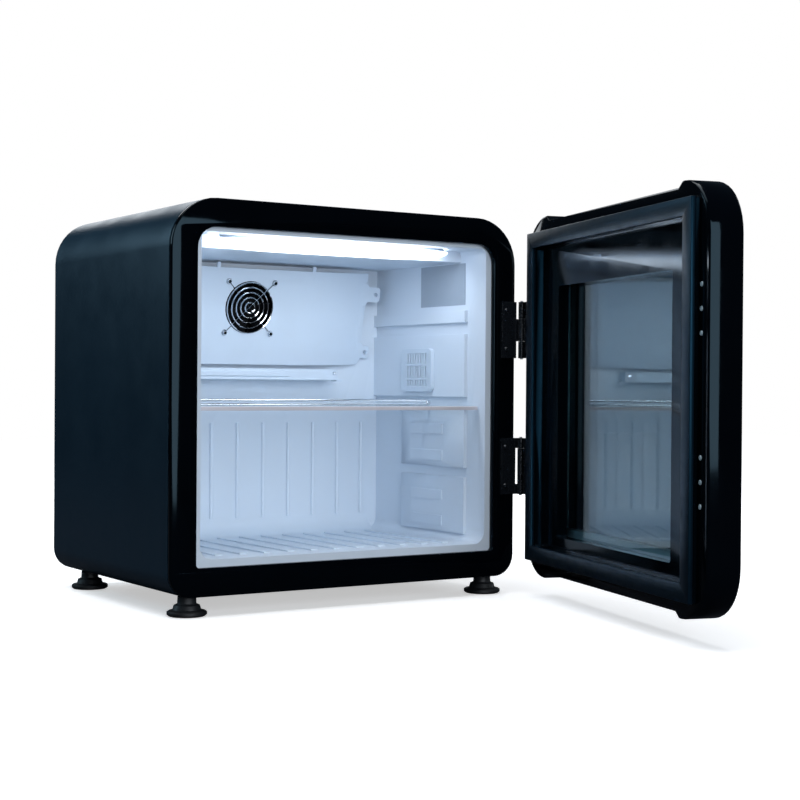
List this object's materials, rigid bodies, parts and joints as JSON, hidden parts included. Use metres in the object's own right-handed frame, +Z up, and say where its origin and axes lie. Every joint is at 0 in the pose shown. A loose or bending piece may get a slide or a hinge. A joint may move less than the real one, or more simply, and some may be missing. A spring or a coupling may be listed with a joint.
{
  "type": "mini fridge",
  "caption": "Counter-top glass-door cooler with rounded cabinet, side-hinged door, fan-cooled lit cold space, sliding shelf and screw feet.",
  "frame": {"origin": "on the floor under the centre of the bounding box with the door standing open", "axes": "+Z up, front of the cabinet toward -Y, hinge side toward +X"},
  "size_m": [0.5563, 0.8906, 0.504],
  "materials": {
    "shell_navy": "satin dark navy enamel",
    "gloss_black": "gloss black",
    "white_plastic": "satin white",
    "foam": "rigid foam",
    "rear_sheet": "satin",
    "black_plastic": "matt",
    "chrome": "polished",
    "aluminium": "milled",
    "ceramic": "ceramic",
    "lamp_white": "frosted diffuser",
    "black_steel": "satin black",
    "shelf_glass": "clear",
    "trim": "satin",
    "door_glass": "tinted reflective",
    "spacer": "satin",
    "rubber": "matt black",
    "plug_grey": "pale grey"
  },
  "bodies": {
    "cabinet": {"outer_shell": "shell_navy", "front_collar": "gloss_black", "inner_liner": "white_plastic", "fan_cover": "white_plastic", "drip_tray": "white_plastic", "lamp_base": "white_plastic", "sensor_cover": "white_plastic", "foam_insulation": "foam", "rear_panel": "rear_sheet", "power_inlet": "black_plastic", "inner_fan_frame": "black_plastic", "outer_fan_frame": "black_plastic", "cover_screw_upper": "chrome", "cover_screw_lower": "chrome", "fan_guard": "chrome", "guard_screw_1": "chrome", "guard_screw_2": "chrome", "guard_screw_3": "chrome", "guard_screw_4": "chrome", "tray_screw": "chrome", "cold_heat_sink": "aluminium", "hot_heat_sink": "aluminium", "hinge_upper_pin": "aluminium", "hinge_lower_pin": "aluminium", "peltier_module": "ceramic", "lamp_diffuser": "lamp_white", "hinge_upper_cabinet_leaf": "black_steel", "hinge_lower_cabinet_leaf": "black_steel", "screw_upper_cabinet_low": "black_steel", "screw_upper_cabinet_top": "black_steel", "screw_lower_cabinet_low": "black_steel", "screw_lower_cabinet_top": "black_steel"},
    "door": {"door_frame": "gloss_black", "door_inner_frame": "gloss_black", "door_gasket": "rubber", "door_glass_inner": "door_glass", "glass_spacer": "spacer", "door_glass_outer": "door_glass", "door_plug_1": "plug_grey", "door_plug_2": "plug_grey", "door_plug_3": "plug_grey", "door_plug_4": "plug_grey", "door_plug_5": "plug_grey", "door_plug_6": "plug_grey", "hinge_upper_door_leaf": "black_steel", "hinge_lower_door_leaf": "black_steel", "screw_upper_door_low": "black_steel", "screw_upper_door_top": "black_steel", "screw_lower_door_low": "black_steel", "screw_lower_door_top": "black_steel"},
    "shelf": {"shelf_glass": "shelf_glass", "shelf_trim": "trim", "shelf_rail": "chrome"},
    "inner_fan": {"inner_fan_rotor": "black_plastic"},
    "outer_fan": {"outer_fan_rotor": "black_plastic"},
    "foot_front_left": {"foot_front_left": "rubber"},
    "foot_front_right": {"foot_front_right": "rubber"},
    "foot_rear_left": {"foot_rear_left": "rubber"},
    "foot_rear_right": {"foot_rear_right": "rubber"}
  },
  "joints": [
    {"name": "door_hinge", "type": "hinge", "parent": "cabinet", "child": "door", "pos_m": [0.237, 0.063, 0.264], "axis": [0, 0, 1], "range_deg": [-74.4, 45.6]},
    {"name": "shelf_slide", "type": "slide", "parent": "cabinet", "child": "shelf", "axis": [0, -1, 0], "range_m": [0, 0.22]},
    {"name": "inner_fan_spin", "type": "hinge", "parent": "cabinet", "child": "inner_fan", "pos_m": [-0.044, 0.318, 0.387], "axis": [0, 0.981, 0.1942], "continuous": true},
    {"name": "outer_fan_spin", "type": "hinge", "parent": "cabinet", "child": "outer_fan", "pos_m": [-0.044, 0.423, 0.387], "axis": [0, 1, 0], "continuous": true},
    {"name": "foot_front_left_screw", "type": "slide", "parent": "cabinet", "child": "foot_front_left", "axis": [0, 0, 1], "range_m": [-0.008, 0]},
    {"name": "foot_front_right_screw", "type": "slide", "parent": "cabinet", "child": "foot_front_right", "axis": [0, 0, 1], "range_m": [-0.008, 0]},
    {"name": "foot_rear_left_screw", "type": "slide", "parent": "cabinet", "child": "foot_rear_left", "axis": [0, 0, 1], "range_m": [-0.008, 0]},
    {"name": "foot_rear_right_screw", "type": "slide", "parent": "cabinet", "child": "foot_rear_right", "axis": [0, 0, 1], "range_m": [-0.008, 0]}
  ]
}
